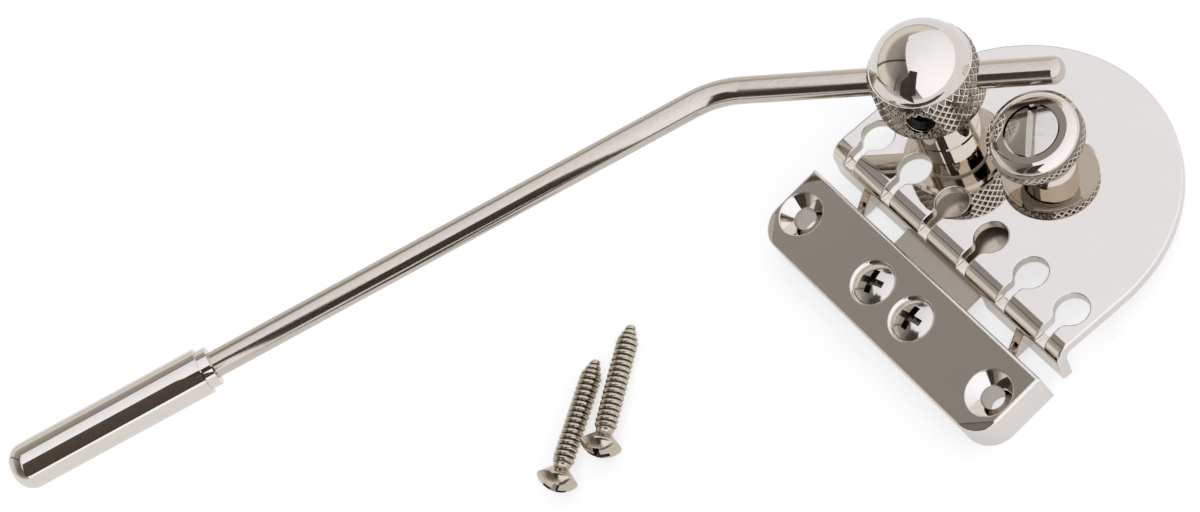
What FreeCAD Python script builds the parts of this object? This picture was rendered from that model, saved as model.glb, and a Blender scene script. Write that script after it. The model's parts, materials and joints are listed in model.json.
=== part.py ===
# Guitar tremolo bridge: a bar that is screwed to the guitar, a round-ended tail plate that rocks on
# two knife-edge ears behind it, a leaf spring that holds the plate down, and a hand arm.
# Millimetres. X runs along the bar, Y from the bar to the plate's round end, Z up from the guitar.
# The origin is on the bar's underside, midway between its two mounting holes.
import FreeCAD, Part
import math
import os

V = FreeCAD.Vector

# General fits
overrun = 1.0
running_clearance = 0.06
thread_clearance = 0.03
seat_gap = 0.05
edge_round = 0.4

# Mounting bar: as long as the tail plate is wide, with a small margin at each end
plate_width = 61.4
bar_end_margin = 0.2
bar_depth = 15.0
bar_height = 7.5
bar_corner_radius = 5.5
bar_edge_round = 0.5
corner_fall_width = 1.4
corner_fall_angle = 16.0
mount_inset = 4.9
mount_hole_diameter = 4.2
countersink_diameter = 8.4
countersink_angle = 90.0

# Leaf spring and what clamps it under the bar
leaf_width = 19.5
leaf_thickness = 0.9
leaf_drop = 2.9
leaf_corner_radius = 2.5
leaf_straight = 7.5
leaf_level_front = 5.0
leaf_end_margin = 4.4
leaf_plate_gap = 0.25
leaf_hole_diameter = 5.6
pocket_clearance = 0.4
pocket_front_wall = 2.0
clamp_plate_thickness = 2.2
clamp_spacing = 10.6
clamp_screw_diameter = 4.0
clamp_head_diameter = 7.6
clamp_head_dome = 1.2
clamp_screw_tail = 0.6
cross_width = 1.0
cross_span = 4.4
cross_depth = 1.5

# Knife-edge pivot
pivot_height = 1.5
groove_depth = 0.7
groove_upper_angle = 75.0
groove_lower_angle = 35.0
pivot_clearance = 0.06
ear_inset = 9.9
ear_rise = 4.7
ear_side_clearance = 0.3
rest_tilt = 8.5

# Tail plate
plate_thickness = 1.9
plate_rise = 8.25
key_setback = 11.5
round_setback = 7.3
lip_forward = 7.85
lip_height = 8.0
bend_radius = 3.3
keyhole_count = 6
keyhole_pitch = 10.4
keyhole_diameter = 6.2
keyslot_width = 2.3
keyslot_drop = 2.3
keyhole_neck_radius = 1.2
notch_margin = 0.8
notch_height = 4.0
notch_corner_radius = 1.5

# Arm post: collar, swivelling holder and what keeps it on the plate
post_leaf_gap = 3.25
post_setback = 9.8
collar_diameter = 12.3
collar_height = 8.3
collar_edge = 0.3
swivel_washer_thickness = 0.5
spindle_diameter = 6.0
holder_diameter = 18.4
holder_band_height = 7.2
holder_chamfer = 0.5
arm_rise_in_holder = 5.0
flat_washer_diameter = 12.0
flat_washer_thickness = 0.5
wave_washer_diameter = 10.6
wave_washer_thickness = 0.6
spindle_nut_across = 10.0
spindle_nut_height = 2.0
spindle_tail = 0.2

# Lock screw that pinches the arm in the holder
lock_screw_diameter = 5.0
lock_screw_recess = 1.1
lock_pad_thickness = 2.2
lock_pad_diameter = 4.6
socket_across = 2.5
socket_depth = 2.0

# Arm and its handle
rod_diameter = 4.9
rod_tip_radius = 2.0
arm_heading = 224.8
arm_tip_reach = 24.1
arm_bend_reach = 38.1
arm_bend_radius = 16.0
arm_bend_angle = 32.8
arm_rise_angle = 2.7
arm_far_reach = 101.4
handle_diameter = 8.7
handle_length = 40.3
handle_end_radius = 3.4
handle_collar_diameter = 7.4
handle_collar_length = 2.0
handle_bore_depth = 14.0

# Spring tension adjuster
adjuster_x = 0.0
adjuster_setback = 17.0
adjuster_hole_diameter = 7.2
knob_diameter = 16.0
knob_height = 9.25
knob_band_height = 2.4
knob_top_diameter = 12.5
knob_bulge_share = 0.12
knob_neck_diameter = 9.8
knob_neck_height = 5.4
knob_foot_land = 0.4
knob_washer_thickness = 0.4
knob_washer_margin = 0.3
tension_screw_diameter = 5.0
tension_head_diameter = 9.35
tension_head_height = 2.8
tension_head_dome = 0.4
tension_head_clearance = 0.32
driver_slot_width = 1.6
driver_slot_depth = 1.6
driver_slot_heading = -46.0
tension_nut_across = 8.0
tension_nut_height = 1.0
tension_screw_tail = 0.15

# Loose wood screws for the bar, lying beside it: the first one's head and heading, and the step to the next
wood_screw_length = 24.0
wood_screw_diameter = 4.1
wood_screw_core_diameter = 3.3
wood_screw_neck_length = 0.8
wood_screw_point_length = 3.2
wood_screw_tip_diameter = 1.6
wood_head_diameter = 7.7
wood_head_dome = 2.0
wood_screw_count = 2
loose_head_x = -25.2
loose_head_y = -64.6
loose_heading = 125.1
loose_step_x = 1.4
loose_step_y = 10.0
loose_turn = 3.8

# Places that follow from the sizes above
bar_length = plate_width + 2 * bar_end_margin
mount_spacing = bar_length - 2 * mount_inset
ear_spacing = plate_width - 2 * ear_inset
post_x = -(leaf_width / 2 + flat_washer_diameter / 2 + post_leaf_gap)
bar_rear = bar_depth / 2
pivot_y = bar_rear - groove_depth + pivot_clearance
key_y = pivot_y + key_setback
plate_top = pivot_height + plate_rise
lip_front = key_y - lip_forward
leaf_top = bar_height - leaf_drop
holder_bottom = collar_height + swivel_washer_thickness + 2 * seat_gap
arm_height = holder_bottom + arm_rise_in_holder
holder_radius = holder_diameter / 2
rod_radius = rod_diameter / 2


def vec(angle, tilt=0.0):
    """Unit vector with a plan heading and a rise, both in degrees."""
    a = math.radians(angle)
    b = math.radians(tilt)
    return V(math.cos(a) * math.cos(b), math.sin(a) * math.cos(b), math.sin(b))


def on_plate(x, setback, height):
    """Point over the level plate: setback behind the keyholes, height above its top."""
    return V(x, key_y + setback, plate_top + height)


def at_rest(shape):
    """Rock a piece of the level plate down to its unstrung rest position."""
    return shape.rotated(V(0, pivot_y, pivot_height), V(1, 0, 0), -rest_tilt)


def cylinder(radius, start, direction, length):
    return Part.makeCylinder(radius, length, start, direction)


def tube(outer_radius, inner_radius, start, length):
    body = cylinder(outer_radius, start, V(0, 0, 1), length)
    bore = cylinder(inner_radius, start - V(0, 0, overrun), V(0, 0, 1), length + 2 * overrun)
    return body.cut(bore)


def prism_x(outline, x_start, width):
    """Solid from a closed outline of (y, z) points, drawn out along X."""
    points = [V(x_start, y, z) for y, z in outline]
    face = Part.Face(Part.makePolygon(points + points[:1]))
    return face.extrude(V(width, 0, 0))


def turned(edges, origin, direction=V(0, 0, 1)):
    """Solid of revolution from edges in the XZ plane, set with its axis on a place and direction."""
    solid = Part.Face(Part.Wire(edges)).revolve(V(0, 0, 0), V(0, 0, 1), 360)
    solid.Placement = FreeCAD.Placement(origin, FreeCAD.Rotation(V(0, 0, 1), direction))
    return solid


def chain(points):
    """Straight edges through (radius, height) points."""
    corners = [V(r, 0, z) for r, z in points]
    return [Part.makeLine(a, b) for a, b in zip(corners, corners[1:])]


def arc(start, middle, end):
    return Part.Arc(V(start[0], 0, start[1]), V(middle[0], 0, middle[1]), V(end[0], 0, end[1])).toShape()


def dome_arc(rim_radius, rim_height, rise):
    """Arc of a shallow dome from its rim to the axis."""
    ball = (rim_radius ** 2 + rise ** 2) / (2 * rise)
    half_radius = rim_radius / 2
    half_rise = math.sqrt(ball ** 2 - half_radius ** 2) - (ball - rise)
    return arc((rim_radius, rim_height), (half_radius, rim_height + half_rise), (0, rim_height + rise))


def hexagon(across, start, direction, height, sides=6):
    """Prism with flats: six for a nut or socket, four for a square nut."""
    corner = across / 2 / math.cos(math.pi / sides)
    turn = FreeCAD.Rotation(V(0, 0, 1), direction)
    angles = [2 * math.pi * (k + 1 / 2) / sides for k in range(sides)]
    ring = [start + turn.multVec(V(corner * math.cos(a), corner * math.sin(a), 0)) for a in angles]
    return Part.Face(Part.makePolygon(ring + ring[:1])).extrude(direction * height)


def cross_recess(origin, direction):
    """Cross-shaped driver recess sunk from a place along a direction."""
    turn = FreeCAD.Rotation(V(0, 0, 1), direction)
    arms = []
    for span_x, span_y in ((cross_span, cross_width), (cross_width, cross_span)):
        arm = Part.makeBox(span_x, span_y, cross_depth + overrun, V(-span_x / 2, -span_y / 2, 0))
        arm.Placement = FreeCAD.Placement(origin, turn)
        arms.append(arm)
    return arms[0].fuse(arms[1])


def countersink(x):
    """Screw hole with a cone at the bar's top."""
    rim = countersink_diameter / 2
    hole = mount_hole_diameter / 2
    depth = (rim - hole) / math.tan(math.radians(countersink_angle / 2))
    cone = Part.makeCone(hole, rim, depth, V(x, 0, bar_height - depth))
    bore = cylinder(hole, V(x, 0, -overrun), V(0, 0, 1), bar_height + 2 * overrun)
    return cone.fuse(bore)


def corner_fall(side):
    """What the buffing takes off the top of a front corner, down to a sloping crescent."""
    r = bar_corner_radius
    off = Part.makeBox(2 * r, 2 * r, bar_height, V(-r, 0, 0))
    off.rotate(V(0, 0, 0), V(1, 0, 0), -corner_fall_angle)
    off.rotate(V(0, 0, 0), V(0, 0, 1), -side * 135)
    reach = (r - corner_fall_width) / math.sqrt(2)
    off.translate(V(side * (bar_length / 2 - r + reach), r - bar_depth / 2 - reach, bar_height))
    return off


def mounting_bar():
    half = bar_length / 2
    front = -bar_depth / 2
    r = bar_corner_radius
    s = r * (1 - math.cos(math.pi / 4))
    outline = [
        Part.makeLine(V(-half, bar_rear, 0), V(-half, front + r, 0)),
        Part.Arc(V(-half, front + r, 0), V(-half + s, front + s, 0), V(-half + r, front, 0)).toShape(),
        Part.makeLine(V(-half + r, front, 0), V(half - r, front, 0)),
        Part.Arc(V(half - r, front, 0), V(half - s, front + s, 0), V(half, front + r, 0)).toShape(),
        Part.makeLine(V(half, front + r, 0), V(half, bar_rear, 0)),
        Part.makeLine(V(half, bar_rear, 0), V(-half, bar_rear, 0)),
    ]
    bar = Part.Face(Part.Wire(outline)).extrude(V(0, 0, bar_height))
    rim = [e for e in bar.Edges if e.BoundBox.ZMin > bar_height / 2]
    bar = bar.makeFillet(bar_edge_round, rim)
    for side in (-1, 1):
        bar = bar.cut(corner_fall(side))
    for x in (-mount_spacing / 2, -clamp_spacing / 2, clamp_spacing / 2, mount_spacing / 2):
        bar = bar.cut(countersink(x))
    pocket_width = leaf_width + 2 * pocket_clearance
    pocket_depth = bar_depth - pocket_front_wall + overrun
    pocket_start = V(-pocket_width / 2, front + pocket_front_wall, -overrun)
    bar = bar.cut(Part.makeBox(pocket_width, pocket_depth, leaf_top + overrun, pocket_start))
    reach = groove_depth + overrun
    rise = reach * math.tan(math.radians(groove_upper_angle))
    fall = reach * math.tan(math.radians(groove_lower_angle))
    bottom = bar_rear - groove_depth
    mouth = bottom + reach
    groove = ((bottom, pivot_height), (mouth, pivot_height + rise), (mouth, pivot_height - fall))
    groove_width = plate_thickness + 2 * ear_side_clearance
    for side in (-1, 1):
        bar = bar.cut(prism_x(groove, side * ear_spacing / 2 - groove_width / 2, groove_width))
    return bar


def clamp_screw(x):
    """Oval-head machine screw down through the bar and the leaf into the clamp plate."""
    head = clamp_head_diameter / 2
    shank = clamp_screw_diameter / 2
    seat = (countersink_diameter - clamp_head_diameter) / 2 / math.tan(math.radians(countersink_angle / 2))
    rim = bar_height - seat + seat_gap
    neck = rim - (head - shank)
    tail = leaf_top - leaf_thickness - clamp_plate_thickness - clamp_screw_tail
    edges = chain(((0, rim + clamp_head_dome), (0, tail), (shank, tail), (shank, neck), (head, rim)))
    screw = turned(edges + [dome_arc(head, rim, clamp_head_dome)], V(x, 0, 0))
    return screw.cut(cross_recess(V(x, 0, rim + clamp_head_dome - cross_depth), V(0, 0, 1)))


def clamp_screws():
    return Part.makeCompound([clamp_screw(side * clamp_spacing / 2) for side in (-1, 1)])


def clamp_front():
    return -bar_depth / 2 + pocket_front_wall + pocket_clearance


def clamp_plate():
    """Tapped plate in the bar's pocket that grips the leaf against the bar."""
    depth = bar_rear - clamp_front() - pocket_clearance
    floor = leaf_top - leaf_thickness - clamp_plate_thickness
    plate = Part.makeBox(leaf_width, depth, clamp_plate_thickness, V(-leaf_width / 2, clamp_front(), floor))
    for side in (-1, 1):
        tapped = clamp_screw_diameter / 2 + thread_clearance
        place = V(side * clamp_spacing / 2, 0, floor - overrun)
        plate = plate.cut(cylinder(tapped, place, V(0, 0, 1), clamp_plate_thickness + 2 * overrun))
    return plate


def rested(y, z):
    """Rest position (y, z) of a point that is given on the level plate."""
    a = math.radians(rest_tilt)
    dy = y - pivot_y
    dz = z - pivot_height
    return pivot_y + dy * math.cos(a) + dz * math.sin(a), pivot_height - dy * math.sin(a) + dz * math.cos(a)


def ball_height():
    """Height of the knob's ball foot over the plate's top, to its centre, on its washer's rim."""
    ball = knob_neck_diameter / 2 + seat_gap
    rim = adjuster_hole_diameter / 2 + running_clearance
    return knob_washer_thickness + math.sqrt(ball ** 2 - rim ** 2)


def on_adjuster(height):
    """Point on the adjuster's upright axis, with the ball's centre at its height over the plate."""
    y, z = rested(key_y + adjuster_setback, plate_top + ball_height())
    return V(adjuster_x, y, z - ball_height() + height)


def leaf_end_top():
    """Height of the leaf's level end, which clears the sloping plate over its far edge."""
    y, z = rested(key_y + adjuster_setback, plate_top - plate_thickness)
    far = on_adjuster(0).y + leaf_end_margin
    return z - math.tan(math.radians(rest_tilt)) * (far - y) - leaf_plate_gap


def leaf_spring():
    """Flat spring: clamped level in the bar, then down to a level end under the adjuster."""
    middle = on_adjuster(0).y
    upper = [
        (clamp_front(), leaf_top), (bar_rear + leaf_straight, leaf_top),
        (middle - leaf_level_front, leaf_end_top()), (middle + leaf_end_margin, leaf_end_top())]
    lower = [(y, z - leaf_thickness) for y, z in upper]
    leaf = prism_x(upper + lower[::-1], -leaf_width / 2, leaf_width)
    far_edges = [e for e in leaf.Edges if e.BoundBox.YMin > upper[-1][0] - leaf_thickness]
    leaf = leaf.makeFillet(leaf_corner_radius, [e for e in far_edges if e.BoundBox.XLength < seat_gap])
    for side in (-1, 1):
        place = V(side * clamp_spacing / 2, 0, 0)
        leaf = leaf.cut(cylinder(mount_hole_diameter / 2, place, V(0, 0, 1), bar_height))
    return leaf.cut(cylinder(leaf_hole_diameter / 2, on_adjuster(0), V(0, 0, -1), plate_top))


def keyhole(x):
    """Cutter for one string keyhole: a round hole, a necked slot and the slot's run over the lip."""
    r = keyhole_diameter / 2
    a = keyslot_width / 2
    n = keyhole_neck_radius
    centre_y = -math.sqrt((r + n) ** 2 - (a + n) ** 2)
    touch = V((a + n) * r / (r + n), centre_y * r / (r + n), 0)
    pull = V(a + n, centre_y, 0)
    toward = (touch - pull).normalize() + V(-1, 0, 0)
    bend = pull + toward.normalize() * n
    end = -lip_forward - overrun

    def mirrored(p):
        return V(-p.x, p.y, p.z)

    edges = [
        Part.Arc(touch, V(0, r, 0), mirrored(touch)).toShape(),
        Part.Arc(mirrored(touch), mirrored(bend), V(-a, centre_y, 0)).toShape(),
        Part.makeLine(V(-a, centre_y, 0), V(-a, end, 0)),
        Part.makeLine(V(-a, end, 0), V(a, end, 0)),
        Part.makeLine(V(a, end, 0), V(a, centre_y, 0)),
        Part.Arc(V(a, centre_y, 0), bend, touch).toShape(),
    ]
    cutter = Part.Face(Part.Wire(edges)).extrude(V(0, 0, overrun + keyslot_drop))
    cutter.translate(on_plate(x, 0, -keyslot_drop))
    return cutter


def tail_plate():
    half = plate_width / 2
    t = plate_thickness
    r = bend_radius
    back = key_y + round_setback + half
    low = plate_top - lip_height
    centre = V(-half, lip_front + r, plate_top - r)
    diagonal = V(0, -math.sqrt(1 / 2), math.sqrt(1 / 2))
    corner = [V(-half, back, plate_top), V(-half, lip_front + r, plate_top)]
    front = [V(-half, lip_front, plate_top - r), V(-half, lip_front, low)]
    inner = [V(-half, lip_front + t, low), V(-half, lip_front + t, plate_top - r)]
    under = [V(-half, lip_front + r, plate_top - t), V(-half, back, plate_top - t)]
    edges = [
        Part.makeLine(corner[0], corner[1]),
        Part.Arc(corner[1], centre + diagonal * r, front[0]).toShape(),
        Part.makeLine(front[0], front[1]),
        Part.makeLine(front[1], inner[0]),
        Part.makeLine(inner[0], inner[1]),
        Part.Arc(inner[1], centre + diagonal * (r - t), under[0]).toShape(),
        Part.makeLine(under[0], under[1]),
        Part.makeLine(under[1], corner[0]),
    ]
    sheet = Part.Face(Part.Wire(edges)).extrude(V(plate_width, 0, 0))
    straight = key_y + round_setback
    plan = [
        Part.makeLine(V(-half, straight, low), V(-half, lip_front, low)),
        Part.makeLine(V(-half, lip_front, low), V(half, lip_front, low)),
        Part.makeLine(V(half, lip_front, low), V(half, straight, low)),
        Part.Arc(V(half, straight, low), V(0, back, low), V(-half, straight, low)).toShape(),
    ]
    plate = sheet.common(Part.Face(Part.Wire(plan)).extrude(V(0, 0, lip_height)))
    top_edges = [e for e in plate.Edges if e.BoundBox.ZMin > plate_top - edge_round]
    rim = [e for e in top_edges if e.BoundBox.YMax > lip_front + 2 * r]
    plate = plate.makeFillet(edge_round, rim)
    for k in range(keyhole_count):
        plate = plate.cut(keyhole((k - (keyhole_count - 1) / 2) * keyhole_pitch))
    notch_width = leaf_width + 2 * notch_margin
    notch_start = V(-notch_width / 2, lip_front - overrun, low - overrun)
    notch = Part.makeBox(notch_width, t + 2 * overrun, notch_height + overrun, notch_start)
    roof = [e for e in notch.Edges if e.BoundBox.ZMin > low and e.BoundBox.XLength < seat_gap]
    plate = plate.cut(notch.makeFillet(notch_corner_radius, roof))
    for x, setback, diameter in (
            (post_x, post_setback, spindle_diameter), (adjuster_x, adjuster_setback, adjuster_hole_diameter)):
        bore = diameter / 2 + running_clearance
        plate = plate.cut(cylinder(bore, on_plate(x, setback, overrun), V(0, 0, -1), t + 2 * overrun))
    foot = low - pivot_height
    rise = pivot_height + ear_rise
    ear = (
        (pivot_y, pivot_height), (lip_front, rise), (lip_front + t, rise),
        (lip_front + t, pivot_height + foot), (lip_front, pivot_height + foot))
    for side in (-1, 1):
        plate = plate.fuse(prism_x(ear, side * ear_spacing / 2 - t / 2, t))
    return at_rest(plate.removeSplitter())


def post_collar():
    """Plain collar under the holder, with the edge of its foot broken."""
    outer = collar_diameter / 2
    bore = spindle_diameter / 2 + running_clearance
    edges = chain((
        (bore, 0), (outer - collar_edge, 0), (outer, collar_edge), (outer, collar_height),
        (bore, collar_height), (bore, 0)))
    return at_rest(turned(edges, on_plate(post_x, post_setback, 0)))


def swivel_washer():
    bore = spindle_diameter / 2 + running_clearance
    place = on_plate(post_x, post_setback, collar_height + seat_gap)
    return at_rest(tube(collar_diameter / 2, bore, place, swivel_washer_thickness))


def flat_washer():
    bore = spindle_diameter / 2 + running_clearance
    place = on_plate(post_x, post_setback, -plate_thickness - flat_washer_thickness)
    return at_rest(tube(flat_washer_diameter / 2, bore, place, flat_washer_thickness))


def wave_washer_foot():
    return -plate_thickness - flat_washer_thickness - wave_washer_thickness


def wave_washer():
    bore = spindle_diameter / 2 + running_clearance
    place = on_plate(post_x, post_setback, wave_washer_foot())
    return at_rest(tube(wave_washer_diameter / 2, bore, place, wave_washer_thickness))


def spindle_nut():
    place = on_plate(post_x, post_setback, wave_washer_foot() - seat_gap)
    nut = hexagon(spindle_nut_across, place, V(0, 0, -1), spindle_nut_height)
    bore = spindle_diameter / 2 + thread_clearance
    nut = nut.cut(cylinder(bore, place + V(0, 0, overrun), V(0, 0, -1), spindle_nut_height + 2 * overrun))
    return at_rest(nut)


def arm_centre():
    return on_plate(post_x, post_setback, arm_height)


def arm_holder():
    """Domed holder with its spindle, cross-drilled for the arm and for the lock screw."""
    spindle = spindle_diameter / 2
    foot = wave_washer_foot() - seat_gap - spindle_nut_height - spindle_tail
    shoulder = holder_bottom + holder_band_height
    top = shoulder + holder_radius
    edges = chain((
        (0, top), (0, foot), (spindle, foot), (spindle, holder_bottom),
        (holder_radius - holder_chamfer, holder_bottom), (holder_radius, holder_bottom + holder_chamfer),
        (holder_radius, shoulder)))
    diagonal = holder_radius * math.sqrt(1 / 2)
    edges.append(arc((holder_radius, shoulder), (diagonal, shoulder + diagonal), (0, top)))
    holder = turned(edges, on_plate(post_x, post_setback, 0))
    along = vec(arm_heading)
    span = holder_diameter + 2 * overrun
    arm_bore = rod_radius + running_clearance
    holder = holder.cut(cylinder(arm_bore, arm_centre() - along * (span / 2), along, span))
    bore = lock_screw_diameter / 2 + running_clearance
    holder = holder.cut(cylinder(bore, arm_centre(), lock_direction(), holder_radius + overrun))
    return at_rest(holder)


def lock_direction():
    return vec(arm_heading + 90)


def lock_pad():
    """Brass pad between the lock screw and the arm."""
    start = arm_centre() + lock_direction() * (rod_radius + seat_gap)
    return at_rest(cylinder(lock_pad_diameter / 2, start, lock_direction(), lock_pad_thickness))


def lock_screw():
    out = lock_direction()
    inner = rod_radius + 2 * seat_gap + lock_pad_thickness
    length = holder_radius - lock_screw_recess - inner
    screw = cylinder(lock_screw_diameter / 2, arm_centre() + out * inner, out, length)
    mouth = arm_centre() + out * (inner + length + overrun)
    return at_rest(screw.cut(hexagon(socket_across, mouth, -out, socket_depth + overrun)))


def far_direction():
    return vec(arm_heading + arm_bend_angle, arm_rise_angle)


def bend_point():
    return arm_centre() + vec(arm_heading) * arm_bend_reach


def handle_start():
    return bend_point() + far_direction() * arm_far_reach


def arm_rod():
    """Round rod with one large bend and a rounded free tip."""
    near = vec(arm_heading)
    far = far_direction()
    turn = near.getAngle(far)
    tangent = arm_bend_radius * math.tan(turn / 2)
    tip = arm_centre() - near * arm_tip_reach
    first = bend_point() - near * tangent
    second = bend_point() + far * tangent
    axis = near.cross(far).normalize()
    hub = first + axis.cross(near) * arm_bend_radius
    stub = cylinder(rod_radius, tip, near, (first - tip).Length)
    rings = [e for e in stub.Edges if e.Curve.TypeId == "Part::GeomCircle"]
    stub = stub.makeFillet(rod_tip_radius, [e for e in rings if (e.Curve.Center - tip).Length < overrun])
    section = Part.Face(Part.Wire(Part.makeCircle(rod_radius, first, near)))
    bend = section.revolve(hub, axis, math.degrees(turn))
    depth = handle_bore_depth - seat_gap
    reach = cylinder(rod_radius, second, far, (handle_start() - second).Length + depth)
    return at_rest(stub.fuse([bend, reach]).removeSplitter())


def handle_ferrule():
    """Short ring on the rod that the handle is screwed up against."""
    bore = rod_radius + thread_clearance
    collar = handle_collar_diameter / 2
    end = handle_collar_length
    edges = chain(((bore, 0), (collar, 0), (collar, end), (bore, end), (bore, 0)))
    return at_rest(turned(edges, handle_start(), far_direction()))


def arm_handle():
    """Turned handle on the rod's end, with a rounded free end."""
    grip = handle_diameter / 2
    bore = rod_radius + thread_clearance
    r = handle_end_radius
    share = math.sqrt(1 / 2)
    shoulder = handle_collar_length
    edges = chain((
        (0, handle_length), (0, handle_bore_depth), (bore, handle_bore_depth), (bore, shoulder),
        (grip, shoulder), (grip, handle_length - r)))
    round_middle = (grip - r + r * share, handle_length - r + r * share)
    edges.append(arc((grip, handle_length - r), round_middle, (grip - r, handle_length)))
    edges += chain(((grip - r, handle_length), (0, handle_length)))
    return at_rest(turned(edges, handle_start(), far_direction()))


def tension_knob():
    """Thumb knob with a ball foot on the plate's washer and a pocket for the screw's head."""
    bore = tension_screw_diameter / 2 + running_clearance
    land = bore + knob_foot_land
    neck = knob_neck_diameter / 2
    rim = knob_diameter / 2
    top = knob_top_diameter / 2
    pocket = tension_head_diameter / 2 + tension_head_clearance
    pocket_floor = knob_height - tension_head_height
    band_top = knob_neck_height + knob_band_height
    ball = ball_height()
    foot = ball - math.sqrt(neck ** 2 - land ** 2)
    half_way = (math.asin(land / neck) + math.pi / 2) / 2
    cheek = (neck * math.sin(half_way), ball - neck * math.cos(half_way))
    chord = V(top - rim, 0, knob_height - band_top)
    out = V(chord.z, 0, -chord.x) * knob_bulge_share
    middle = ((rim + top) / 2 + out.x, (band_top + knob_height) / 2 + out.z)
    edges = chain((
        (pocket, knob_height), (pocket, pocket_floor), (bore, pocket_floor), (bore, foot), (land, foot)))
    edges.append(arc((land, foot), cheek, (neck, ball)))
    edges += chain(((neck, ball), (neck, knob_neck_height), (rim, knob_neck_height), (rim, band_top)))
    edges.append(arc((rim, band_top), middle, (top, knob_height)))
    edges += chain(((top, knob_height), (pocket, knob_height)))
    return turned(edges, on_adjuster(0))


def knob_washer():
    """Thin washer that the knob's ball foot turns on."""
    outer = knob_neck_diameter / 2 + knob_washer_margin
    bore = adjuster_hole_diameter / 2 + running_clearance
    return at_rest(tube(outer, bore, on_plate(adjuster_x, adjuster_setback, 0), knob_washer_thickness))


def tension_nut_top():
    """Height of the nut's top over the foot of the adjuster's axis."""
    return leaf_end_top() - leaf_thickness - seat_gap - on_adjuster(0).z


def tension_screw():
    """Slotted screw from the knob's pocket down through the plate and the leaf to its nut."""
    shank = tension_screw_diameter / 2
    head = tension_head_diameter / 2
    seat = knob_height - tension_head_height + seat_gap
    rim = knob_height - tension_head_dome / 2
    foot = tension_nut_top() - tension_nut_height - tension_screw_tail
    crest = rim + tension_head_dome
    edges = chain(((0, crest), (0, foot), (shank, foot), (shank, seat), (head, seat), (head, rim)))
    edges.append(dome_arc(head, rim, tension_head_dome))
    slot = Part.makeBox(
        tension_head_diameter, driver_slot_width, driver_slot_depth + overrun,
        V(-tension_head_diameter / 2, -driver_slot_width / 2, crest - driver_slot_depth))
    slot.rotate(V(0, 0, 0), V(0, 0, 1), driver_slot_heading)
    slot.translate(on_adjuster(0))
    return turned(edges, on_adjuster(0)).cut(slot)


def tension_nut():
    """Square nut under the leaf's end."""
    place = on_adjuster(tension_nut_top())
    nut = hexagon(tension_nut_across, place, V(0, 0, -1), tension_nut_height, sides=4)
    bore = tension_screw_diameter / 2 + running_clearance
    bore_length = tension_nut_height + 2 * overrun
    return nut.cut(cylinder(bore, place + V(0, 0, overrun), V(0, 0, -1), bore_length))


def wood_screw(x, y, heading):
    """Oval-head wood screw lying on its head's rim and its thread."""
    head = wood_head_diameter / 2
    core = wood_screw_core_diameter / 2
    thread = wood_screw_diameter / 2
    cone = head - core
    thread_start = cone + wood_screw_neck_length
    taper = wood_screw_length - wood_screw_point_length
    edges = chain((
        (0, -wood_head_dome), (0, wood_screw_length), (wood_screw_tip_diameter / 2, wood_screw_length),
        (thread, taper), (thread, thread_start), (core, thread_start), (core, cone), (head, 0)))
    crown = dome_arc(head, 0, wood_head_dome)
    crown.rotate(V(0, 0, 0), V(1, 0, 0), 180)
    fall = math.degrees(math.atan2(head - thread, taper))
    along = vec(heading, -fall)
    place = V(x, y, head * math.cos(math.radians(fall)) + seat_gap)
    screw = turned(edges + [crown], place, along)
    return screw.cut(cross_recess(place - along * (wood_head_dome - cross_depth), -along))


def mounting_screws():
    screws = []
    for k in range(wood_screw_count):
        x = loose_head_x + k * loose_step_x
        y = loose_head_y + k * loose_step_y
        screws.append(wood_screw(x, y, loose_heading + k * loose_turn))
    return Part.makeCompound(screws)


os.makedirs("parts", exist_ok=True)
NODES = {
    "mounting_bar": mounting_bar,
    "clamp_screws": clamp_screws,
    "clamp_plate": clamp_plate,
    "leaf_spring": leaf_spring,
    "mounting_screws": mounting_screws,
    "tail_plate": tail_plate,
    "post_collar": post_collar,
    "swivel_washer": swivel_washer,
    "flat_washer": flat_washer,
    "wave_washer": wave_washer,
    "spindle_nut": spindle_nut,
    "arm_holder": arm_holder,
    "lock_pad": lock_pad,
    "lock_screw": lock_screw,
    "arm_rod": arm_rod,
    "handle_ferrule": handle_ferrule,
    "arm_handle": arm_handle,
    "knob_washer": knob_washer,
    "tension_knob": tension_knob,
    "tension_screw": tension_screw,
    "tension_nut": tension_nut,
}
for name, build in NODES.items():
    shape = build()
    box = shape.BoundBox
    sizes = [round(value, 2) for value in (box.XMin, box.XMax, box.YMin, box.YMax, box.ZMin, box.ZMax)]
    print(name, len(shape.Solids), round(shape.Volume, 1), shape.isValid(), sizes)
    shape.exportStep("parts/" + name + ".step")
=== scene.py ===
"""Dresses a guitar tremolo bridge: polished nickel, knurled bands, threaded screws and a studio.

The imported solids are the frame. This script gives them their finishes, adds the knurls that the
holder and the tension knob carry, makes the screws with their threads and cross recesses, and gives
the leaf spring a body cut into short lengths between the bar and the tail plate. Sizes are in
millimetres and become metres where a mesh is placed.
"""

import json
import logging
import math
from dataclasses import dataclass, field
from enum import Enum
from typing import Any, Iterable, Optional, Sequence

import bmesh
import bpy
from mathutils import Matrix, Vector


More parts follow.
